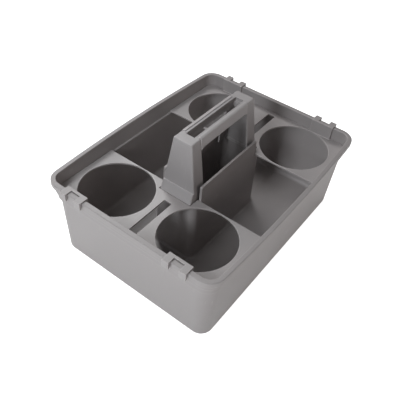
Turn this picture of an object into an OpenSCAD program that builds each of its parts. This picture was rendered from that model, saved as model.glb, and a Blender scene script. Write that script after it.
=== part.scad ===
// Tool storage caddy: a moulded tub with a central well and a carrying handle,
// two grip covers on the handle, and two lift-out inserts that hold bottles.
// Frame: X along the handle, Y across it, Z up, origin under the middle of the base.

/* [Tub] */
// Length of the rim over its lip
rim_l = 400; // [370:1:440]
// Width of the rim over its lip, at the corners
rim_w = 297; // [285:1:330]
// How far each long side bows outwards at the rim
side_bow = 6; // [0:0.5:8]
// Height of the rim above the table
tub_h = 138; // [125:1:160]
// Corner radius of the rim
rim_r = 23; // [20:1:30]
// Thickness of the floor and the outer walls
wall = 2.6; // [2:0.1:3.2]
// Radius of the edge round the base
base_r = 3; // [1:0.5:4]
// How much wider each wall stands at the collar than at the foot
wall_draft = 3.8; // [1:0.1:6]

/* [Rim collar] */
// Height of the outer lip
lip_h = 8.6; // [6:0.2:12]
// Thickness of the lip's hanging skirt
lip_t = 2.4; // [1.6:0.1:3]
// Height of each of the two bands under the lip
band_h = 11; // [8:0.5:12]
// Step in from the lip to the first band
band_in1 = 3.4; // [3:0.1:4]
// Step in from the lip to the second band
band_in2 = 5.2; // [4.6:0.1:5.6]
// Step in from the lip to the body wall
body_in = 7.5; // [6.8:0.1:8]
// Width of the flat flange along the top of the rim
flange_w = 8; // [7.6:0.1:8.6]
// Depth of the ledge that carries the inserts, below the rim
ledge_drop = 24.6; // [20:0.2:27]

/* [Central well] */
// Height of the dividers above the insert plates
divider_up = 25.8; // [10:0.2:32]
// Clear width of the well
well_w = 63; // [60:0.5:66]
// Thickness of the divider's top edge
divider_t = 3.6; // [2.6:0.1:4.2]
// How much thicker the divider is at its foot
divider_draft = 3.4; // [0:0.1:4]
// Corner radius at the ends of the dividers' tops
divider_end_r = 3; // [1:0.5:6]
// Radius of the well's upright outer corners
well_r = 9; // [7:0.2:9.6]
// Radius of the well's upright inner corners
well_in_r = 6.4; // [3:0.2:7]
// How far the well's ends reach in under the inserts
well_under = 15.6; // [12:0.2:18]
// Thickness of the well's end walls at the top
end_t = 3.4; // [2.6:0.1:5]

/* [Handle] */
// Height of the handle's posts above the table
handle_h = 211; // [190:1:230]
// Thickness of each plinth along the handle, which leaves the rest to the hand opening
plinth_t = 31.6; // [29:0.2:34]
// Thickness of the posts at the top, along the handle
post_t = 20.3; // [17:0.1:22]
// Width of the posts at the top
post_w = 31.8; // [30:0.2:36]
// Width of the posts at the bottom
post_foot_w = 55; // [46:0.2:55.4]
// Extra thickness of the posts at the bottom
post_flare = 3.9; // [0:0.1:5]
// Height of the plinth under each post, above the plates
plinth_up = 15.3; // [10:0.1:18]
// Width of the plinth where it passes the plate
plinth_w = 56.6; // [56:0.2:58]
// How far the plinth's outer face leans in up to the post
plinth_lean = 6.2; // [3:0.1:7]
// Thickness of the walls of the hollow posts
post_wall = 2.6; // [2:0.1:3]
// Radius of the posts' upright outer corners
post_r = 2.4; // [1.6:0.1:3]
// Length of the fillet under the rails, at the posts
web_l = 9; // [4:0.5:12]
// Depth of the fillet under the rails, at the posts
web_h = 3; // [1:0.2:5]
// Height of the carrying rails
rail_h = 14; // [11:0.5:18]
// Width of the slot between the rails
rail_gap = 14; // [11:0.2:15]
// Thickness of the grip covers on top of the rails
cover_t = 1.2; // [0.8:0.1:2]

/* [Inserts] */
// Length of each insert, along the handle
insert_l = 119; // [118.5:0.5:124]
// Diameter of the bottle holes
bottle_d = 114; // [96:0.5:114.5]
// Width of plate left between a hole and the collar, along the handle
hole_edge = 4; // [3:0.1:4.4]
// Thickness of the insert plates
plate_t = 3; // [2:0.1:4]
// Length of plate left between the slot and the plinth
slot_web = 13.7; // [8:0.1:30]
// Length of plate left between the slot and the collar
slot_edge = 9.7; // [6:0.1:20]
// Width of the slot between the holes
slot_w = 13.4; // [8:0.2:14]

/* [Clips] */
// Width of each clip
clip_w = 38; // [30:0.5:42]
// Distance of the clip's middle from the handle's line
clip_y = 91.2; // [88:0.2:100]
// Thickness of the clip's strap
clip_t = 2; // [1.5:0.1:3]
// Thickness of the prongs outside the rim
prong_t = 4.4; // [3:0.1:5]
// Length of the prongs, measured down from the rim
prong_h = 10.4; // [8:0.2:14]
// Width of the gap between the prongs
prong_gap = 17; // [10:0.5:20]
// Size of the lead-in cut at the foot of the prongs
lead_in = 2; // [0.5:0.1:2.6]
// Thickness of the clip's riser, up the inside of the collar
riser_t = 3.4; // [2.4:0.1:4]

/* [Fit] */
// Gap round a loose piece, sideways
side_gap = 0.4; // [0.3:0.05:0.6]
// Gap under a loose piece where it rests
rest_gap = 0.3; // [0.2:0.05:0.4]
// Gap round the plinth in the insert's notch
notch_gap = 1; // [0.8:0.1:1.2]

/* [Hidden] */
e = 0.01;
// how far stacked solids run into each other
lap = 1;
floor_t = wall;
ledge_z = tub_h - ledge_drop;
plate_z0 = ledge_z + rest_gap;
plate_z1 = plate_z0 + plate_t;
lip_z = tub_h - lip_h;
band1_z = lip_z - band_h;
band2_z = band1_z - band_h;
// inside of the collar, where the inserts fit
col_l = rim_l - 2 * flange_w;
col_w = rim_w - 2 * (flange_w - 0.8);
col_r = rim_r - flange_w;
// body wall, outside, at the collar and at the foot
top_l = rim_l - 2 * body_in;
top_w = rim_w - 2 * body_in;
foot_l = top_l - 2 * wall_draft;
foot_w = top_w - 2 * wall_draft;
top_r = rim_r;
foot_r = top_r - wall_draft;
well_top = plate_z0 - 1.7;
divider_top = plate_z1 + divider_up;
insert_x1 = col_l / 2 - side_gap;
insert_x0 = insert_x1 - insert_l;
well_l = 2 * (insert_x0 + well_under);
divider_l = 2 * (insert_x0 - side_gap);
bottle_x = col_l / 2 - hole_edge - bottle_d / 2;
bottle_y = (slot_w + col_w) / 4;
plinth_x = well_l / 2 + side_gap;
plinth_top = plate_z1 + plinth_up;
post_x0 = plinth_x - plinth_t;
hand_l = 2 * post_x0;
slot_x0 = plinth_x + notch_gap + slot_web;
slot_x1 = insert_x1 - slot_edge;

// ---- shapes that repeat ----

// corner points of one quarter turn
function quarter(cx, cy, r, a0, n = 8) =
    [for (i = [0 : n]) [cx + r * cos(a0 + 90 * i / n), cy + r * sin(a0 + 90 * i / n)]];
// rounded rectangle, long sides cut into short runs so that they can bow
function ring_pts(l, w, r, m, n = 8) = concat(
    quarter(l / 2 - r, w / 2 - r, r, 0, n),
    [for (i = [1 : m - 1]) [(l / 2 - r) * (1 - 2 * i / m), w / 2]],
    quarter(-l / 2 + r, w / 2 - r, r, 90, n),
    quarter(-l / 2 + r, -w / 2 + r, r, 180, n),
    [for (i = [1 : m - 1]) [-(l / 2 - r) * (1 - 2 * i / m), -w / 2]],
    quarter(l / 2 - r, -w / 2 + r, r, 270, n));
// the same outline with its long sides bowed outwards
function bowed(l, w, r, bow) =
    [for (p = ring_pts(l, w, r, bow > 0 ? 14 : 1)) [p.x, p.y * (1 + 2 * bow / w * (1 - pow(2 * p.x / l, 2)))]];

module bow_plate(l, w, r, bow, h) {
    linear_extrude(h)
        polygon(bowed(l, w, r, bow));
}

// straight rounded rectangle with true arcs
module round_plate(l, w, r, h) {
    linear_extrude(h) {
        square([l - 2 * r, w], center = true);
        square([l, w - 2 * r], center = true);
        for (sx = [-1, 1], sy = [-1, 1])
            translate([sx * (l / 2 - r), sy * (w / 2 - r)])
                circle(r, $fn = 64);
    }
}

// drafted rounded block: cones in the corners, leaning walls between them
module drafted(l0, w0, r0, l1, w1, r1, h) {
    cx = l0 / 2 - r0;
    cy = w0 / 2 - r0;
    for (sx = [-1, 1], sy = [-1, 1])
        translate([sx * cx, sy * cy, 0])
            cylinder(h = h, r1 = r0, r2 = r1, $fn = 64);
    translate([-cx, 0, 0])
        rotate([90, 0, 90])
            linear_extrude(2 * cx)
                polygon([[-w0 / 2, 0], [w0 / 2, 0], [w1 / 2, h], [-w1 / 2, h]]);
    translate([0, cy, 0])
        rotate([90, 0, 0])
            linear_extrude(2 * cy)
                polygon([[-l0 / 2, 0], [l0 / 2, 0], [l1 / 2, h], [-l1 / 2, h]]);
}

// ---- tub ----

module rim_profile() {
    // second band, first band and lip, each a little prouder and more bowed
    translate([0, 0, band2_z])
        bow_plate(rim_l - 2 * band_in2, rim_w - 2 * band_in2, rim_r - 1, side_bow * 0.35, band_h + lap);
    translate([0, 0, band1_z])
        bow_plate(rim_l - 2 * band_in1, rim_w - 2 * band_in1, rim_r - 1, side_bow * 0.7,
            band_h + lip_h - lap);
    difference() {
        translate([0, 0, lip_z])
            bow_plate(rim_l, rim_w, rim_r, side_bow, lip_h);
        // the lip's skirt hangs clear of the first band
        translate([0, 0, lip_z - lap])
            bow_plate(rim_l - 2 * lip_t, rim_w - 2 * lip_t, rim_r - lip_t, side_bow, lip_h - lip_t + lap);
    }
}

// body with a rounded edge round its base
module tub_body() {
    grow = wall_draft * base_r / (band2_z + lap);
    // inset and height of the edge's points, a quarter turn in two steps
    edge = [for (a = [0, 45, 90]) [base_r * (1 - sin(a)) - grow * (1 - cos(a)), base_r * (1 - cos(a))]];
    for (i = [0, 1])
        translate([0, 0, edge[i].y])
            drafted(foot_l - 2 * edge[i].x, foot_w - 2 * edge[i].x, foot_r - edge[i].x,
                foot_l - 2 * edge[i + 1].x, foot_w - 2 * edge[i + 1].x, foot_r - edge[i + 1].x,
                edge[i + 1].y - edge[i].y);
    translate([0, 0, base_r])
        drafted(foot_l + 2 * grow, foot_w + 2 * grow, foot_r + grow, top_l, top_w, top_r,
            band2_z + lap - base_r);
}

module tub_inside() {
    // body, below the ledge
    translate([0, 0, floor_t])
        drafted(foot_l - 2 * wall, foot_w - 2 * wall, foot_r - wall,
            top_l - 2 * wall, top_w - 2 * wall, top_r - wall, ledge_z - floor_t + lap);
    // collar, straight at the ledge and bowed at the rim
    hull() {
        translate([0, 0, ledge_z])
            bow_plate(col_l, col_w, col_r, 0, e);
        translate([0, 0, tub_h])
            bow_plate(col_l, col_w, col_r, side_bow, lap);
    }
}

// the well's four walls lean outside and stand upright inside, and its long walls
// carry the dividers between the inserts
module well() {
    foot_r = well_r + divider_draft;
    top_lean = divider_draft * (divider_top - well_top) / divider_top;
    len = well_l - 2 * top_lean;
    wid = well_w + 2 * divider_t;
    low_x = well_l / 2 + divider_draft + lap;
    intersection() {
        // outline seen from the side
        rotate([90, 0, 0])
            linear_extrude(wid + 2 * divider_draft + 2 * lap, center = true)
                polygon(concat(
                    [[-low_x, lap], [low_x, lap], [low_x, well_top], [divider_l / 2, well_top]],
                    quarter(divider_l / 2 - divider_end_r, divider_top - divider_end_r, divider_end_r, 0),
                    quarter(divider_end_r - divider_l / 2, divider_top - divider_end_r, divider_end_r, 90),
                    [[-divider_l / 2, well_top], [-low_x, well_top]]));
        difference() {
            drafted(len + 2 * divider_draft, wid + 2 * divider_draft, foot_r, len, wid, well_r,
                divider_top + lap);
            translate([0, 0, -lap])
                round_plate(well_l - 2 * end_t, well_w, well_in_r, divider_top + 3 * lap);
        }
    }
}

module tub() {
    color([0.62, 0.61, 0.61]) {
        difference() {
            union() {
                tub_body();
                rim_profile();
            }
            tub_inside();
        }
        well();
    }
}

// ---- handle ----

// a thin slab with rounded corners: r_out on the far side, r_in at the hand opening
module slab(x0, x1, w, r_out, r_in, z) {
    translate([0, 0, z])
        for (sy = [-1, 1]) {
            translate([x0 + r_in, sy * (w / 2 - r_in), 0])
                cylinder(h = e, r = r_in, $fn = 24);
            translate([x1 - r_out, sy * (w / 2 - r_out), 0])
                cylinder(h = e, r = r_out, $fn = 32);
        }
}

module post() {
    foot_x = post_x0 + post_t + post_flare;
    r_in = 1.2;
    difference() {
        union() {
            // tapered post with a softened top edge
            hull() {
                slab(post_x0, foot_x, post_foot_w, post_r, r_in, plinth_top);
                slab(post_x0, post_x0 + post_t, post_w, post_r, r_in, handle_h - 1.8);
                slab(post_x0 + 0.8, post_x0 + post_t - 1.2, post_w - 2.4, post_r * 0.7, r_in * 0.8,
                    handle_h - e);
            }
            // plinth, leaning in towards the post
            hull() {
                slab(post_x0, plinth_x, plinth_w, post_r, r_in, plate_z1);
                slab(post_x0, plinth_x - plinth_lean + 0.6, plinth_w - 0.8, post_r, r_in, plinth_top - 0.8);
                slab(post_x0, plinth_x - plinth_lean, plinth_w - 1.4, post_r, r_in, plinth_top);
            }
        }
        post_hollow();
    }
    neck();
}

// inside of a post, open to the hand opening and to the well below it: one outline
// seen from the side crossed with one seen from the end
module post_hollow() {
    top_z = handle_h - rail_h;
    rise = (top_z - plinth_top) / (handle_h - plinth_top);
    low_z = plate_z1 - lap;
    step_x = post_x0 + post_t + post_flare - post_wall;
    half_low = plinth_w / 2 - post_wall;
    half_step = post_foot_w / 2 - post_wall;
    half_top = half_step - rise * (post_foot_w - post_w) / 2;
    intersection() {
        rotate([90, 0, 0])
            linear_extrude(plinth_w, center = true)
                polygon([[post_x0 - lap, low_z], [well_l / 2 - end_t, low_z],
                    [well_l / 2 - end_t, plate_z1], [step_x, plinth_top],
                    [step_x - rise * post_flare, top_z], [post_x0 - lap, top_z]]);
        translate([post_x0 - 2 * lap, 0, 0])
            rotate([90, 0, 90])
                linear_extrude(plinth_t + 3 * lap)
                    polygon([[-half_low, low_z], [half_low, low_z], [half_low, plate_z1],
                        [half_step, plinth_top], [half_top, top_z], [-half_top, top_z],
                        [-half_step, plinth_top], [-half_low, plate_z1]]);
    }
}

// foot of the plinth's front plate, down through the notch to the end wall of the well
module neck() {
    x_in = well_l / 2 - end_t;
    translate([0, 0, well_top])
        linear_extrude(plate_z1 - well_top + lap / 2) {
            translate([x_in, -plinth_w / 2 + post_r])
                square([plinth_x - x_in, plinth_w - 2 * post_r]);
            translate([x_in, -plinth_w / 2])
                square([plinth_x - x_in - post_r, plinth_w]);
            for (sy = [-1, 1])
                translate([plinth_x - post_r, sy * (plinth_w / 2 - post_r)])
                    circle(post_r, $fn = 48);
        }
}

module handle() {
    color([0.66, 0.65, 0.65]) {
        difference() {
            union() {
                post();
                mirror([1, 0, 0])
                    post();
                // two rails between the posts
                for (sy = [-1, 1])
                    translate([-post_x0 - 4, 0, 0])
                        rotate([90, 0, 90])
                            linear_extrude(hand_l + 8)
                                polygon([for (p = rail_pts()) [sy * p.x, p.y]]);
            }
            // the slot runs a little way into the post heads
            translate([-post_x0 - 3, -rail_gap / 2, handle_h - 6])
                cube([hand_l + 6, rail_gap, 10]);
        }
    }
}

// section of one rail, lightly chamfered on its inner edges
function rail_pts() =
    let (y0 = rail_gap / 2, y1 = post_w / 2 - 1.5, z0 = handle_h - rail_h, z1 = handle_h)
    [[y0, z0 + 1.2], [y0 + 1.2, z0], [y1, z0], [y1, z1], [y0 + 1, z1], [y0, z1 - 1]];

// ---- grip covers ----

module grip_cover(side) {
    end_x = post_x0 - 0.2;
    y_in = post_w / 2 - 1.5;
    y_top = rail_gap / 2 + 4.2;
    y_out = post_w / 2 + 1.1;
    z0 = handle_h - rail_h - 1.5;
    z1 = handle_h + cover_t;
    lean = (post_foot_w - post_w) / 2 / (handle_h - plinth_top);
    y_low = y_out + lean * rail_h;
    color([0.64, 0.63, 0.63]) {
        translate([-end_x, 0, 0])
            rotate([90, 0, 90])
                linear_extrude(2 * end_x)
                    polygon([for (p = [[y_in, z0], [y_low - 1.4, z0], [y_low, z0 + 1.6],
                        [y_out, z1 - 3], [y_out - 0.5, z1 - 1.4], [y_out - 1.8, z1 - 0.3],
                        [y_out - 3, z1], [y_top + 0.5, z1], [y_top, z1 - 0.5], [y_top, handle_h],
                        [y_in, handle_h]]) [side * p.x, p.y]]);
        // the lower edge runs down in a fillet where it meets each post
        for (sx = [-1, 1])
            translate([0, side * (y_in + y_low) / 2, 0])
                rotate([90, 0, 0])
                    linear_extrude(y_low - y_in, center = true)
                        polygon(concat([[sx * end_x, z0 + 1.6]],
                            [for (i = [0 : 4]) [sx * (end_x - web_l * i / 4), z0 - web_h * pow(1 - i / 4, 2)]],
                            [[sx * (end_x - web_l), z0 + 1.6]]));
    }
}

module grip_cover_near() {
    grip_cover(-1);
}

module grip_cover_far() {
    grip_cover(1);
}

// ---- inserts ----

// side view of a clip: up the collar, flat over the rim, and down outside the lip
// to a foot whose inner corner is cut back so that it rides over the lip
function clip_pts() =
    let (x_in = insert_x1 - riser_t, x_lip = rim_l / 2 + side_gap, x_out = x_lip + prong_t,
        z_foot = tub_h - prong_h, z_over = tub_h + rest_gap, z_top = z_over + clip_t)
    [[x_in, plate_z0], [insert_x1, plate_z0], [insert_x1, z_over], [x_lip, z_over],
        [x_lip, z_foot + lead_in], [x_lip + lead_in, z_foot], [x_out, z_foot],
        [x_out, z_top], [x_in, z_top]];

module clip() {
    difference() {
        rotate([90, 0, 0])
            linear_extrude(clip_w, center = true)
                polygon(clip_pts());
        // open gap between the prongs, showing the rim
        translate([rim_l / 2 - flange_w + 0.5, -prong_gap / 2, tub_h - prong_h - 1])
            cube([flange_w + prong_t + 2, prong_gap, prong_h + clip_t + 2]);
    }
}

module insert_plate() {
    difference() {
        intersection() {
            translate([0, 0, plate_z0])
                round_plate(2 * insert_x1, col_w - 2 * side_gap, col_r - side_gap, plate_t);
            translate([insert_x0, -rim_w / 2, plate_z0 - 1])
                cube([rim_l / 2, rim_w, plate_t + 2]);
        }
        for (sy = [-1, 1])
            translate([bottle_x, sy * bottle_y, plate_z0 - 20])
                cylinder(h = 40, d = bottle_d, $fn = 128);
        translate([slot_x0, -slot_w / 2, plate_z0 - 1])
            cube([slot_x1 - slot_x0, slot_w, plate_t + 2]);
        // notch round the handle's plinth
        translate([insert_x0 - 5, -plinth_w / 2 - notch_gap, plate_z0 - 20])
            cube([plinth_x + notch_gap - insert_x0 + 5, plinth_w + 2 * notch_gap, 40]);
    }
}
module insert() {
    color([0.60, 0.59, 0.59]) {
        difference() {
            union() {
                insert_plate();
                for (sy = [-1, 1])
                    translate([0, sy * clip_y, 0])
                        clip();
            }
            // the bottle holes run clean past the clips' roots
            for (sy = [-1, 1])
                translate([bottle_x, sy * bottle_y, plate_z0 - 1])
                    cylinder(h = plate_t + 1, d = bottle_d, $fn = 128);
        }
    }
}

module insert_rear() {
    insert();
}

module insert_front() {
    rotate([0, 0, 180])
        insert();
}

tub();
handle();
grip_cover_near();
grip_cover_far();
insert_front();
insert_rear();
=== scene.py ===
import math

import bmesh
import bpy
from mathutils import Matrix, Vector


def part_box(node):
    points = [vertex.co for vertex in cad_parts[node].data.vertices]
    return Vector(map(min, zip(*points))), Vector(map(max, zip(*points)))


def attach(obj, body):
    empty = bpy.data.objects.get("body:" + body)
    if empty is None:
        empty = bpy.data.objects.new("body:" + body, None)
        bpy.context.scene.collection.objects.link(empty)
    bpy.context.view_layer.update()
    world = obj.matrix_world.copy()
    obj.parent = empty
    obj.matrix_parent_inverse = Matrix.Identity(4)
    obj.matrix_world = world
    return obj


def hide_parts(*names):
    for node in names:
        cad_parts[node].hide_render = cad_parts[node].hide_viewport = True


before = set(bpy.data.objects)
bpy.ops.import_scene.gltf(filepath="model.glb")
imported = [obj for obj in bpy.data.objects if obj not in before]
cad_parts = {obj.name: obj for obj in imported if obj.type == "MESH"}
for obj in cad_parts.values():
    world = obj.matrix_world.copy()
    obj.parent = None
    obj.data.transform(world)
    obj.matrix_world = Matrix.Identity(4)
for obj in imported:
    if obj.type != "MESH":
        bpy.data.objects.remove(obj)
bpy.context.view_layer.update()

# ---- Camera -------------------------------------------------------------
# A normal lens above the near corner of the tub, rolled a few degrees, so that
# the upright edges lean to the left.
camera_turn = math.radians(-56.706)
camera_rise = math.radians(44.55)
camera_roll = math.radians(5.436)
camera_distance = 0.80724
camera_shift_right = -0.01668
camera_shift_up = -0.05254
camera_target_height = 0.11673

back = Vector((math.sin(camera_turn) * math.cos(camera_rise),
               -math.cos(camera_turn) * math.cos(camera_rise),
               math.sin(camera_rise)))
level_right = (-back).cross(Vector((0, 0, 1))).normalized()
level_up = level_right.cross(-back)
right = math.cos(camera_roll) * level_right + math.sin(camera_roll) * level_up
up = -math.sin(camera_roll) * level_right + math.cos(camera_roll) * level_up
camera_data = bpy.data.cameras.new("camera")
camera_data.sensor_width = 36.0
camera_data.lens = 46.769
camera = bpy.data.objects.new("camera", camera_data)
camera.matrix_world = Matrix((right, up, back)).transposed().to_4x4()
camera.matrix_world.translation = (back * camera_distance + right * camera_shift_right
                                   + up * camera_shift_up
                                   + Vector((0, 0, camera_target_height)))
bpy.context.scene.collection.objects.link(camera)
bpy.context.scene.camera = camera

# ---- Tub ----------------------------------------------------------------
# The open box: one moulding in mid-grey polypropylene, with leaning walls, two
# stepped bands under a rim that hangs over as a lip, and a ledge inside that the
# inserts rest on. Its long sides bow out a little at the rim.
side_bow = 0.006
band_bow = side_bow * 0.7
low_band_bow = side_bow * 0.35
rim_half_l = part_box("tub")[1].x
rim_half_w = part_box("tub")[1].y - side_bow
rim_top = 0.138
rim_w = 0.008
rim_r = 0.023
lip_t = 0.0024
lip_foot = 0.1294
lip_hollow_top = 0.1356
band_in = 0.0034
band_r = 0.022
band_foot = 0.1184
low_band_in = 0.0052
body_in = 0.0075
body_top = 0.1074
body_foot_in = 0.0113
ledge = 0.1134
inside_in = 0.0101
inside_r = 0.0204
inside_foot_in = 0.0139
floor_top = 0.0026
floor_fillet = 0.008
floor_flat_in = 0.040
floor_flat_r = 0.005
corner_steps = 14
side_steps = 20
small_trim = 0.001

# Places nearer than near are taken as one, and points nearer than weld are merged. A hair
# keeps two faces from lying in one plane.
near = 1e-5
weld = 1e-6
hair = 0.00005


def rounded_ring(half_x, half_y, height, corner, bow=0.0):
    """Points round a rounded rectangle whose long sides bow outwards."""
    points = []
    for quarter, (sx, sy) in enumerate([(1, 1), (-1, 1), (-1, -1), (1, -1)]):
        for k in range(corner_steps + 1):
            turn = math.pi / 2 * (quarter + k / corner_steps)
            points.append((sx * (half_x - corner) + corner * math.cos(turn),
                           sy * (half_y - corner) + corner * math.sin(turn)))
        if sx == sy:
            for k in range(1, side_steps):
                points.append((sx * (half_x - corner) * (1 - 2 * k / side_steps), sy * half_y))
    return [Vector((x, y * (1 + bow / half_y * (1 - (x / half_x) ** 2)), height))
            for x, y in points]


def soften(section):
    """Turns each corner of a section, given as (place, trim), into a short curve.

    The trim is how far from the corner the curve starts, measured in the section's plane
    by the place's first and third values."""
    places = []
    for k, (place, trim) in enumerate(section):
        if not trim:
            places.append(place)
            continue
        steps = 3 if trim < small_trim else 6
        ends = []
        for other in (section[k - 1][0], section[k + 1][0]):
            way = other - place
            ends.append(place + way * (trim / math.hypot(way[0], way[2])))
        for step in range(steps + 1):
            t = step / steps
            places.append(ends[0] * (1 - t) ** 2 + place * (2 * t * (1 - t)) + ends[1] * t ** 2)
    return places


def face_outward(bm):
    """Turns every face of a closed shell to the outside."""
    bmesh.ops.recalc_face_normals(bm, faces=bm.faces)
    if bm.calc_volume(signed=True) < 0:
        bmesh.ops.reverse_faces(bm, faces=bm.faces)


def start_ring(bm, points, filled):
    """A closed ring of edges through the points, with one face in it if it is filled."""
    ring = bmesh.ops.create_circle(bm, cap_ends=filled, segments=len(points), radius=1)["verts"]
    for vert, point in zip(ring, points):
        vert.co = point
    return ring


def ring_edges(bm, ring):
    """The edges of a closed ring of vertices."""
    return [bm.edges.get((ring[k - 1], ring[k])) for k in range(len(ring))]


def draw_ring(bm, ring, points):
    """Extrudes a ring of edges to the points, and returns the ring there."""
    drawn = set(bmesh.ops.extrude_edge_only(bm, edges=ring_edges(bm, ring))["geom"])
    ring = [next(edge.other_vert(vert) for edge in vert.link_edges
                 if edge.other_vert(vert) in drawn) for vert in ring]
    for vert, point in zip(ring, points):
        vert.co = point
    return ring


def skin(rings):
    """A closed shell drawn through rings of equally many points, with both ends capped."""
    bm = bmesh.new()
    ring = start_ring(bm, rings[0], filled=True)
    for points in rings[1:]:
        ring = draw_ring(bm, ring, points)
    bmesh.ops.edgeloop_fill(bm, edges=ring_edges(bm, ring))
    face_outward(bm)
    return bm


def join(bm, part):
    """Adds a finished part to a piece."""
    mesh = bpy.data.meshes.new("part")
    part.to_mesh(mesh)
    bm.from_mesh(mesh)
    part.free()
    bpy.data.meshes.remove(mesh)


def pull(bm, faces, way):
    """Extrudes faces, moves their far ends and returns the faces there."""
    rest = {part: None for face in faces for part in face.edges[:] + face.verts[:]}
    drawn = bmesh.ops.extrude_face_region(bm, geom=faces + list(rest))["geom"]
    bmesh.ops.translate(bm, vec=way, verts=[part for part in drawn
                                            if isinstance(part, bmesh.types.BMVert)])
    return [part for part in drawn if isinstance(part, bmesh.types.BMFace)]


def cut(bm, place, along):
    """Splits every face that a plane crosses."""
    bmesh.ops.bisect_plane(bm, geom=bm.verts[:] + bm.edges[:] + bm.faces[:], dist=weld,
                           plane_co=place, plane_no=along)


def soften_edges(bm, width, least_turn=40, where=lambda edge: True):
    """Rounds the edges that stand out by more than least_turn degrees."""
    face_outward(bm)
    sharp = [edge for edge in bm.edges if edge.is_manifold and where(edge)
             and edge.calc_face_angle_signed() > math.radians(least_turn)]
    bmesh.ops.bevel(bm, geom=sharp, offset=width, offset_type="OFFSET", affect="EDGES",
                    segments=2, profile=0.5, material=-1)


def finish_piece(bm, name, material, body):
    """Makes the piece from its mesh, stands it for the CAD node of that name and shades it."""
    mesh = bpy.data.meshes.new(name)
    bm.to_mesh(mesh)
    bm.free()
    mesh.shade_smooth()
    mesh.set_sharp_from_angle(angle=math.radians(38))
    mesh.materials.append(material)
    piece = bpy.data.objects.new(name + "_moulding", mesh)
    bpy.context.scene.collection.objects.link(piece)
    even = piece.modifiers.new("even_shading", "WEIGHTED_NORMAL")
    even.keep_sharp = True
    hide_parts(name)
    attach(piece, body)


# The well for long tools stands on the tub's floor. Its walls lean outside, are
# upright inside, and rise in the middle as the dividers that show between the inserts.
well_half_l = 0.0882
well_half_w = 0.0315
well_inside_half_l = 0.0848
well_top = 0.112
well_lean = 0.00267
well_fillet = 0.005
well_inside_fillet = 0.003
well_outer_r = 0.0097
well_inner_r = 0.0064
well_edge_r = 0.0006
divider_t = 0.0036
divider_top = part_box("tub")[1].z
divider_half_l = 0.0722
divider_lean = 0.0007
divider_corner = 0.003
foot_x = well_half_l + well_lean
foot_y = well_half_w + divider_t + divider_lean + well_lean
foot_r = well_outer_r + well_lean
foot_reach = 0.006
inside_reach = 0.004
floor_skin = floor_top - hair

# Each place is the half length, half width, height and corner of a ring round the well,
# with its trim beside it. Both ends of the section run just under the floor.
well_section = [
    (Vector((foot_x + foot_reach, foot_y + foot_reach, floor_skin, foot_r + foot_reach)), 0),
    (Vector((foot_x, foot_y, floor_top, foot_r)), well_fillet),
    (Vector((well_half_l, well_half_w + divider_t + divider_lean, well_top, well_outer_r)), 0),
    (Vector((well_inside_half_l, well_half_w, well_top, well_inner_r)), 0),
    (Vector((well_inside_half_l, well_half_w, floor_top, well_inner_r)), well_inside_fillet),
    (Vector((well_inside_half_l - inside_reach, well_half_w - inside_reach, floor_skin,
             well_inner_r - inside_reach)), 0)]
well = skin([rounded_ring(*place) for place in soften(well_section)])
caps = [face for face in well.faces if len(face.verts) > 4]
bmesh.ops.delete(well, geom=caps, context="FACES_ONLY")
bmesh.ops.bridge_loops(well, edges=[edge for edge in well.edges if edge.is_boundary])
for side in (-1, 1):
    cut(well, (side * divider_half_l, 0, 0), (1, 0, 0))
strips = [face for face in well.faces
          if min(vert.co.z for vert in face.verts) > well_top - near
          and abs(face.calc_center_median().x) < divider_half_l
          and abs(face.calc_center_median().y) > well_half_w]
pull(well, strips, (0, 0, divider_top - well_top))
for vert in well.verts:
    if vert.co.z > divider_top - near and abs(vert.co.y) > well_half_w + divider_t / 2:
        vert.co.y = math.copysign(well_half_w + divider_t, vert.co.y)
divider_ends = [edge for edge in well.edges
                if all(vert.co.z > divider_top - near for vert in edge.verts)
                and all(abs(vert.co.x) > divider_half_l - near for vert in edge.verts)]
bmesh.ops.bevel(well, geom=divider_ends, offset=divider_corner, affect="EDGES", segments=6,
                profile=0.5, material=-1)
soften_edges(well, well_edge_r,
             where=lambda edge: min(vert.co.z for vert in edge.verts) > well_top - near)


def rim_place(inset, height, corner, bow=0.0):
    """A corner of the tub's section, by how far in from the rim it lies."""
    return Vector((rim_half_l - inset, rim_half_w - inset, height, corner, bow))


# The section runs from the middle of the underside, up outside, over the rim and down
# inside. Each place has the trim of its corner beside it.
side_slim = Vector((0, 0.0008, 0, 0, 0))
tub_section = [
    (rim_place(floor_flat_in, 0, floor_flat_r), 0),
    (rim_place(body_foot_in, 0, rim_r - body_foot_in + body_in), 0.003),
    (rim_place(body_in, body_top, rim_r), 0.0004),
    (rim_place(low_band_in, body_top, band_r, low_band_bow), 0.0007),
    (rim_place(low_band_in, band_foot, band_r, low_band_bow), 0.0003),
    (rim_place(band_in, band_foot, band_r, band_bow), 0.0007),
    (rim_place(band_in, lip_hollow_top, band_r, band_bow), 0),
    (rim_place(lip_t, lip_hollow_top, rim_r - lip_t, side_bow), 0),
    (rim_place(lip_t, lip_foot, rim_r - lip_t, side_bow), 0.0005),
    (rim_place(0, lip_foot, rim_r, side_bow), 0.0008),
    (rim_place(0, rim_top, rim_r, side_bow), 0.0016),
    (rim_place(rim_w, rim_top, rim_r - rim_w, side_bow) + side_slim, 0.0012),
    (rim_place(rim_w, ledge, rim_r - rim_w) + side_slim, 0.0006),
    (rim_place(inside_in, ledge, inside_r), 0.0008),
    (rim_place(inside_foot_in, floor_top, inside_r - inside_foot_in + inside_in), floor_fillet),
    (rim_place(floor_flat_in, floor_top, floor_flat_r), 0)]
tub = skin([rounded_ring(*place) for place in soften(tub_section)])
join(tub, well)


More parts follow.
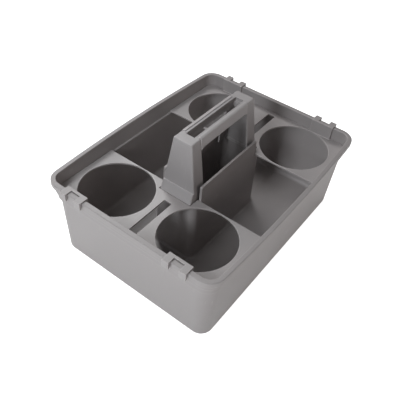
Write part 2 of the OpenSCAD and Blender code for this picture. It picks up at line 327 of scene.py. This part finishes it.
# Every moulding has the same skin, from a spark-eroded mould: a fine grain, slow waves
# from shrinking, a faint mottle, scuffs rubbed a little lighter, and a painted highlight
# that lightens the edges. Scales are in waves for each metre. Scuffs are long along the
# caddy and thin across it.
grain_scale = 1500
coarse_grain_scale = 600
shrink_scale = 14
shrink_relief = 0.00012
mottle_scale = 8
mottle_share = 0.7
small_mottle_scale = 70
small_mottle_share = 0.3
mottle_range = (0.3, 0.7)
mottle_dulls = 1.5
edge_reach = 0.0018
edge_range = (0.995, 0.86)
scuff_turn = (0.5, 0.2, 0.9)
scuff_scale = (30, 520, 60)
scuff_range = (0.64, 0.74)
scuff_patch_scale = 22
scuff_patch_range = (0.5, 0.62)
scuff_share = 0.3
highlight_and_scuff_lightens = 0.6
rub_polishes = -0.08
moulded_skin = bpy.data.node_groups.new("moulded_skin", "ShaderNodeTree")
for name, kind in [("Place", "NodeSocketVector"), ("Colour", "NodeSocketColor"),
                   ("Roughness", "NodeSocketFloat"), ("Grain", "NodeSocketFloat"),
                   ("Mottle", "NodeSocketFloat"), ("Highlight and Scuffs", "NodeSocketFloat")]:
    moulded_skin.interface.new_socket(name=name, in_out="INPUT", socket_type=kind)
for name, kind in [("Colour", "NodeSocketColor"), ("Roughness", "NodeSocketFloat"),
                   ("Height", "NodeSocketFloat")]:
    moulded_skin.interface.new_socket(name=name, in_out="OUTPUT", socket_type=kind)


def add_node(tree, kind, values, **settings):
    """Adds a shader node. A value that is an output socket is linked, any other is set."""
    made = tree.nodes.new(kind)
    for name, setting in settings.items():
        setattr(made, name, setting)
    for name, value in values.items():
        if isinstance(value, bpy.types.NodeSocket):
            tree.links.new(value, made.inputs[name])
        else:
            made.inputs[name].default_value = value
    return made


def skin_noise(place, scale, detail):
    """A soft random field over the moulding."""
    return add_node(moulded_skin, "ShaderNodeTexNoise",
                    {"Vector": place, "Scale": scale, "Detail": detail}).outputs["Fac"]


def skin_range(value, low, high, to_low, to_high):
    """Takes the range low..high of a value to another range."""
    return add_node(moulded_skin, "ShaderNodeMapRange",
                    {"Value": value, "From Min": low, "From Max": high,
                     "To Min": to_low, "To Max": to_high}).outputs["Result"]


def skin_math(operation, first, second, third=0.0):
    """One step of arithmetic."""
    return add_node(moulded_skin, "ShaderNodeMath", {0: first, 1: second, 2: third},
                    operation=operation).outputs[0]


skin_in = moulded_skin.nodes.new("NodeGroupInput").outputs
broad_clouds = skin_range(skin_noise(skin_in["Place"], mottle_scale, 3),
                          *mottle_range, -mottle_share, mottle_share)
small_clouds = skin_range(skin_noise(skin_in["Place"], small_mottle_scale, 3),
                          *mottle_range, -small_mottle_share, small_mottle_share)
clouds = skin_math("MULTIPLY", skin_math("ADD", broad_clouds, small_clouds), skin_in["Mottle"])

# Painted highlight: the bevel mask finds rounded edges, and they are made lighter to stand for
# the light that they catch.
rounded = add_node(moulded_skin, "ShaderNodeBevel", {"Radius": edge_reach}, samples=6)
flat = moulded_skin.nodes.new("ShaderNodeNewGeometry")
turned = add_node(moulded_skin, "ShaderNodeVectorMath",
                  {0: rounded.outputs["Normal"], 1: flat.outputs["Normal"]},
                  operation="DOT_PRODUCT").outputs["Value"]
edges = skin_range(turned, *edge_range, 0, 1)
stretched = add_node(moulded_skin, "ShaderNodeMapping",
                     {"Vector": skin_in["Place"], "Rotation": scuff_turn,
                      "Scale": scuff_scale}).outputs["Vector"]
streaks = skin_range(skin_noise(stretched, 1, 3), *scuff_range, 0, 1)
patches = skin_range(skin_noise(skin_in["Place"], scuff_patch_scale, 2),
                     *scuff_patch_range, 0, 1)
scuffs = skin_math("MULTIPLY", skin_math("MULTIPLY", streaks, patches), scuff_share)
# The painted edge highlight and the real scuffs together lighten the colour and lower the
# roughness.
edge_highlight_and_scuffs = skin_math("MULTIPLY", skin_in["Highlight and Scuffs"], skin_math("MAXIMUM", edges, scuffs))

lighter = skin_math("MULTIPLY_ADD", edge_highlight_and_scuffs, highlight_and_scuff_lightens, skin_math("ADD", clouds, 1.0))
skin_colour = add_node(moulded_skin, "ShaderNodeVectorMath",
                       {0: skin_in["Colour"], "Scale": lighter}, operation="SCALE")
dulled = skin_math("MULTIPLY_ADD", clouds, mottle_dulls, skin_in["Roughness"])
pits = skin_math("ADD", skin_noise(skin_in["Place"], grain_scale, 2),
                 skin_noise(skin_in["Place"], coarse_grain_scale, 1))
add_node(moulded_skin, "NodeGroupOutput",
         {"Colour": skin_colour.outputs["Vector"],
          "Roughness": skin_math("MULTIPLY_ADD", edge_highlight_and_scuffs, rub_polishes, dulled),
          "Height": skin_math("MULTIPLY_ADD", pits, skin_in["Grain"],
                              skin_noise(skin_in["Place"], shrink_scale, 1))})


def moulded_plastic(name, colour, roughness, grain, mottle, highlight_and_scuffs):
    """One of the caddy's greys, with the moulded skin."""
    material = bpy.data.materials.new(name)
    material.use_nodes = True
    tree = material.node_tree
    place = tree.nodes.new("ShaderNodeTexCoord").outputs["Object"]
    surface = add_node(tree, "ShaderNodeGroup",
                       {"Place": place, "Colour": (*colour, 1), "Roughness": roughness,
                        "Grain": grain, "Mottle": mottle, "Highlight and Scuffs": highlight_and_scuffs},
                       node_tree=moulded_skin).outputs
    relief = add_node(tree, "ShaderNodeBump",
                      {"Height": surface["Height"], "Distance": shrink_relief, "Strength": 1.0})
    shader = tree.nodes["Principled BSDF"].inputs
    tree.links.new(surface["Colour"], shader["Base Color"])
    tree.links.new(surface["Roughness"], shader["Roughness"])
    tree.links.new(relief.outputs["Normal"], shader["Normal"])
    shader["Specular IOR Level"].default_value = 0.6
    return material


tub_grey = moulded_plastic("tub_grey", (0.318, 0.290, 0.285), 0.46, 0.22, 0.05, 1.0)
finish_piece(tub, "tub", tub_grey, "caddy")

# ---- Handle -------------------------------------------------------------
# One moulding that straddles the well: two posts that stand on the well's ends and
# are hollow towards the hand opening, and two rails between their solid heads.
hand_x = 0.057
handle_top = 0.211
plate_top = 0.1167
plinth_x = 0.0886
plinth_half_w = 0.0283
plinth_top = 0.132
plinth_top_x = 0.0824
plinth_top_half_w = 0.0276
post_foot_x = 0.0812
post_foot_half_w = 0.0275
neck_x = 0.0780
neck_half_w = 0.0180
crown_x = 0.0773
crown_half_w = 0.0159
crown_flat = 0.006
post_wall = 0.0026
post_r = 0.0024
back_r = 0.0012
hollow_r = 0.0015
hollow_foot_x = 0.0796
hollow_foot_half_w = 0.0251
hollow_half_w = 0.0249
rail_foot = 0.197
rail_in = 0.007
rail_out = 0.0138
recess_x = 0.060
recess_foot = 0.205
handle_edge_r = 0.0005
bend_steps = 6
small_bend_steps = 4


def arc(cx, cy, radius, start, end, steps):
    """Points along an arc, with angles in quarter turns."""
    turns = [math.pi / 2 * (start + (end - start) * k / steps) for k in range(steps + 1)]
    return [Vector((cx + radius * math.cos(turn), cy + radius * math.sin(turn)))
            for turn in turns]


def post_ring(x_out, half_w, height, hollow_x, hollow_side):
    """Points round a post's walls: along the outside, then back along the hollow."""
    bend = min(hollow_r, hollow_x - hand_x)
    near_side = arc(x_out - post_r, half_w - post_r, post_r, 0, 1, bend_steps)
    near_side += arc(hand_x + back_r, half_w - back_r, back_r, 1, 2, small_bend_steps)
    near_side += [Vector((hand_x, hollow_side))]
    near_side += arc(hollow_x - bend, hollow_side - bend, bend, 1, 0, small_bend_steps)
    far_side = [Vector((point.x, -point.y)) for point in reversed(near_side)]
    return [Vector((*point, height)) for point in near_side + far_side]


# Each place is how far out the post is, its half width and its height, then how far out
# and how wide its hollow is, with its trim beside it.
post_section = [
    (Vector((plinth_x, plinth_half_w, plate_top, hollow_foot_x, hollow_foot_half_w)), 0),
    (Vector((plinth_top_x, plinth_top_half_w, plinth_top,
             post_foot_x - post_wall, hollow_half_w)), 0.0009),
    (Vector((post_foot_x, post_foot_half_w, plinth_top,
             post_foot_x - post_wall, hollow_half_w)), 0.0003),
    (Vector((neck_x, neck_half_w, rail_foot, neck_x - post_wall, neck_half_w - post_wall)), 0),
    (Vector((neck_x, neck_half_w, rail_foot, hand_x, neck_half_w - post_wall)), 0),
    (Vector((crown_x, crown_half_w, handle_top, hand_x, crown_half_w - post_wall)), 0.0018),
    (Vector((crown_x - crown_flat, crown_half_w - crown_flat, handle_top, hand_x,
             crown_half_w - crown_flat - post_wall)), 0)]
handle = skin([post_ring(*place) for place in soften(post_section)])
bmesh.ops.remove_doubles(handle, verts=handle.verts, dist=weld)
for width in (-rail_out, -rail_in, rail_in, rail_out):
    cut(handle, (0, width, 0), (0, 1, 0))
cut(handle, (0, 0, recess_foot), (0, 0, 1))
cut(handle, (recess_x, 0, 0), (1, 0, 0))


def hand_faces(y_from, y_to, z_from):
    """Faces of the post's head towards the hand, between two widths, above a height."""
    return [face for face in handle.faces
            if all(abs(vert.co.x - hand_x) < near for vert in face.verts)
            and y_from <= abs(face.calc_center_median().y) < y_to
            and face.calc_center_median().z > z_from]


pull(handle, hand_faces(0, rail_in, recess_foot), (recess_x - hand_x, 0, 0))
rail_ends = pull(handle, hand_faces(rail_in, rail_out, rail_foot), (-hand_x, 0, 0))
over_recess = [face for face in handle.faces
               if all(vert.co.z > handle_top - near and vert.co.x < recess_x + near
                      and vert.co.x > hand_x - near for vert in face.verts)
               and abs(face.calc_center_median().y) < rail_in]
bmesh.ops.delete(handle, geom=over_recess + rail_ends, context="FACES")
bmesh.ops.remove_doubles(handle, verts=handle.verts, dist=weld)

# Behind the hollow the plinth goes on down to the end of the well.
foot_plate = arc(plinth_x - post_r, plinth_half_w - post_r, post_r, 0, 1, bend_steps)
foot_plate += [Vector((hollow_foot_x, plinth_half_w)), Vector((hollow_foot_x, -plinth_half_w))]
foot_plate += arc(plinth_x - post_r, post_r - plinth_half_w, post_r, 3, 4, bend_steps)
join(handle, skin([[Vector((*point, height)) for point in foot_plate]
                   for height in (well_top + hair, plate_top)]))
bmesh.ops.mirror(handle, geom=handle.verts[:] + handle.edges[:] + handle.faces[:],
                 matrix=Matrix.Identity(4), merge_dist=weld, axis="X")
soften_edges(handle, handle_edge_r,
             where=lambda edge: min(vert.co.z for vert in edge.verts) > plate_top)
handle_grey = moulded_plastic("handle_grey", (0.358, 0.330, 0.327), 0.42, 0.12, 0.04, 1.0)
finish_piece(handle, "handle", handle_grey, "caddy")

# ---- Grip covers --------------------------------------------------------
# Two strips that clip over the rails from outside and round off the grip. They
# stand a little proud of the post heads, and run down in a fillet at both ends.
cover_half_l = 0.0568
cover_in = 0.0112
cover_out = 0.0170
cover_low = 0.01906
cover_foot = 0.1955
cover_foot_w = 0.0014
cover_foot_h = 0.0016
cover_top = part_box("grip_cover_near")[1].z
cover_r = 0.003
cover_r_rise = 0.0009
cover_seat = handle_top - 0.0001
cover_edge_r = 0.0004
web_l = 0.009
web_h = 0.003
web_steps = 6
low_edge = [(rail_out, cover_foot), (cover_low - cover_foot_w, cover_foot),
            (cover_low, cover_foot + cover_foot_h)]
high_edge = [(cover_out, cover_top - cover_r),
             (cover_out - cover_r_rise, cover_top - cover_r_rise),
             (cover_out - cover_r, cover_top), (cover_in, cover_top),
             (cover_in, cover_seat), (rail_out, cover_seat)]
web = [(cover_half_l - web_l * k / web_steps, web_h * (1 - k / web_steps) ** 2)
       for k in range(web_steps + 1)]
stations = web + [(-x, drop) for x, drop in reversed(web)]
# The covers are the same plastic as the handle; their lighter grey is a painted highlight for
# the light that their rounded tops catch.
cover_grey_painted_highlight = moulded_plastic("cover_grey_painted_highlight", (0.410, 0.379, 0.375), 0.38, 0.10, 0.04, 0.7)
for name, side in [("grip_cover_near", -1), ("grip_cover_far", 1)]:
    cover = skin([[Vector((x, side * y, z - drop)) for y, z in low_edge]
                  + [Vector((x, side * y, z)) for y, z in high_edge] for x, drop in stations])
    soften_edges(cover, cover_edge_r, least_turn=25)
    finish_piece(cover, name, cover_grey_painted_highlight, "caddy")

# ---- Inserts ------------------------------------------------------------
# Two loose plates that rest on the tub's ledge, each with two round holes for
# bottles, a slot and two clips over the rim. One moulding is used twice, turned round.
plate_foot = 0.1137
plate_outer = 0.1916
plate_inner = 0.0726
plate_half_w = 0.1409
plate_corner = 0.0146
plate_corner_steps = 10
plate_soft = 0.0004
plate_bulge = plate_soft * 0.3
bottle_r = 0.057
bottle_x = 0.131
bottle_y = 0.074
bottle_steps = 112
notch_x = 0.0896
notch_half_w = 0.0293
slot_from = 0.1033
slot_to = 0.1819
slot_half_w = 0.0067


def moved_in(points, width):
    """An outline moved to its left side by a width."""
    result = []
    for k, point in enumerate(points):
        before = (point - points[k - 1]).normalized()
        after = (points[(k + 1) % len(points)] - point).normalized()
        across = Vector((-before.y - after.y, before.x + after.x))
        result.append(point + across * (width / (1 + before.dot(after))))
    return result


# Each outline runs with the plate's material on its left.
plate_edge = arc(plate_outer - plate_corner, plate_corner - plate_half_w, plate_corner,
                 3, 4, plate_corner_steps)
plate_edge += arc(plate_outer - plate_corner, plate_half_w - plate_corner, plate_corner,
                  0, 1, plate_corner_steps)
plate_edge += [Vector((plate_inner, plate_half_w)), Vector((plate_inner, notch_half_w)),
               Vector((notch_x, notch_half_w)), Vector((notch_x, -notch_half_w)),
               Vector((plate_inner, -notch_half_w)), Vector((plate_inner, -plate_half_w))]
plate_slot = [Vector((slot_from, -slot_half_w)), Vector((slot_from, slot_half_w)),
              Vector((slot_to, slot_half_w)), Vector((slot_to, -slot_half_w))]
bottle_holes = [arc(bottle_x, side * bottle_y, bottle_r, 4, 0, bottle_steps)[:-1]
                for side in (-1, 1)]
plate_levels = [(plate_soft, plate_foot), (plate_bulge, plate_foot + plate_bulge),
                (0, plate_foot + plate_soft), (0, plate_top - plate_soft),
                (plate_bulge, plate_top - plate_bulge), (plate_soft, plate_top)]
insert = bmesh.new()
for outline in [plate_edge, plate_slot] + bottle_holes:
    rings = [[Vector((*point, height)) for point in moved_in(outline, inset)]
             for inset, height in plate_levels]
    ring = start_ring(insert, rings[0], filled=False)
    for points in rings[1:]:
        ring = draw_ring(insert, ring, points)
for height in (plate_foot, plate_top):
    bmesh.ops.triangle_fill(insert, use_beauty=True, normal=(0, 0, 1),
                            edges=[edge for edge in insert.edges if edge.is_boundary
                                   and all(abs(vert.co.z - height) < weld
                                           for vert in edge.verts)])
face_outward(insert)

# Each clip is a fork-shaped strap that lies over the rim, with a riser on the plate and
# two prongs outside the lip drawn down from it. The prongs narrow at the tip.
clip_y = 0.0912
clip_half_w = 0.019
clip_gap = 0.0085
clip_t = 0.002
clip_in = 0.1882
clip_window = 0.1925
clip_foot = rim_top + 0.0003
clip_edge_r = 0.0005
prong_in = 0.2004
prong_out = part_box("insert_rear")[1].x
prong_foot = 0.1276
prong_lead = 0.002
fork = [(clip_in, -clip_half_w), (prong_out, -clip_half_w), (prong_out, -clip_gap),
        (clip_window, -clip_gap), (clip_window, clip_gap), (prong_out, clip_gap),
        (prong_out, clip_half_w), (clip_in, clip_half_w)]
for middle in (-clip_y, clip_y):
    clip = bmesh.new()
    start_ring(clip, [(x, middle + y, clip_foot) for x, y in fork], filled=True)
    pull(clip, clip.faces[:], (0, 0, clip_t))
    for x in (plate_outer, prong_in):
        cut(clip, (x, 0, 0), (1, 0, 0))
    under = [face for face in clip.faces
             if all(vert.co.z < clip_foot + near for vert in face.verts)]
    roots = [face for face in under if face.calc_center_median().x < plate_outer]
    tips = [face for face in under if face.calc_center_median().x > prong_in]
    pull(clip, roots, (0, 0, plate_foot - clip_foot))
    prongs = pull(clip, tips, (0, 0, prong_foot + prong_lead - clip_foot))
    pull(clip, prongs, (0, 0, -prong_lead))
    for vert in clip.verts:
        if vert.co.z < prong_foot + near and abs(vert.co.x - prong_in) < near:
            vert.co.x += prong_lead
    soften_edges(clip, clip_edge_r)
    join(insert, clip)

front = insert.copy()
bmesh.ops.rotate(front, verts=front.verts, cent=(0, 0, 0),
                 matrix=Matrix.Rotation(math.pi, 3, "Z"))
insert_grey = moulded_plastic("insert_grey", (0.344, 0.315, 0.310), 0.44, 0.15, 0.04, 0.9)
finish_piece(front, "insert_front", insert_grey, "front_insert")
finish_piece(insert, "insert_rear", insert_grey, "rear_insert")

# ---- Studio -------------------------------------------------------------
# A pale floor that shows white, with soft lights on the left, in front and behind, and
# a weak one overhead. The floor and the world light the caddy less than they show.
floor_half_w = 6.0
floor_drop = 0.0005
light_target = Vector((0, 0, 0.1))


def set_glow(tree, strength, shown, lighting):
    """Sets the strength of a glow: as the camera sees it, and as it lights the caddy."""
    seen = tree.nodes.new("ShaderNodeLightPath").outputs["Is Camera Ray"]
    glow = add_node(tree, "ShaderNodeMath", {0: seen, 1: shown - lighting, 2: lighting},
                    operation="MULTIPLY_ADD")
    tree.links.new(glow.outputs[0], strength)


world = bpy.data.worlds.new("studio")
bpy.context.scene.world = world
world.use_nodes = True
pale = world.node_tree.nodes["Background"].inputs
pale["Color"].default_value = (1, 1, 1, 1)
set_glow(world.node_tree, pale["Strength"], 1.0, 0.01)
bpy.context.scene.view_settings.view_transform = "Standard"

floor_mesh = bpy.data.meshes.new("floor")
floor_sheet = bmesh.new()
bmesh.ops.create_grid(floor_sheet, x_segments=1, y_segments=1, size=floor_half_w)
floor_sheet.to_mesh(floor_mesh)
floor_sheet.free()
floor = bpy.data.objects.new("floor", floor_mesh)
bpy.context.scene.collection.objects.link(floor)
floor.location.z = -floor_drop
floor_white = bpy.data.materials.new("floor_white")
floor_white.use_nodes = True
paper = floor_white.node_tree.nodes["Principled BSDF"].inputs
paper["Base Color"].default_value = (0.85, 0.85, 0.85, 1)
paper["Roughness"].default_value = 0.9
paper["Emission Color"].default_value = (1, 1, 1, 1)
set_glow(floor_white.node_tree, paper["Emission Strength"], 0.99, 0.42)
floor_mesh.materials.append(floor_white)

for name, place, energy, width, tint in [
        ("left", (-1.6, 0.02, 1.0), 14.2, 0.5, (0.94, 1.0, 1.04)),
        ("left_high", (-1.1, 0.25, 1.3), 4.2, 0.6, (0.94, 1.0, 1.04)),
        ("front", (0.15, -1.7, 0.6), 4.6, 0.9, (1.04, 1.0, 0.98)),
        ("behind", (0.2, 1.7, 0.9), 11.0, 1.0, (1.0, 1.0, 1.0)),
        ("behind_high", (0.7, 0.9, 1.4), 10.5, 0.5, (0.98, 1.0, 1.01)),
        ("over", (0, 0, 1.3), 0.9, 0.5, (1.0, 1.0, 1.0))]:
    light_data = bpy.data.lights.new(name, "AREA")
    light_data.energy = energy
    light_data.size = width
    light_data.color = tint
    light = bpy.data.objects.new(name, light_data)
    light.location = place
    light.rotation_euler = (Vector(place) - light_target).to_track_quat("Z", "Y").to_euler()
    bpy.context.scene.collection.objects.link(light)
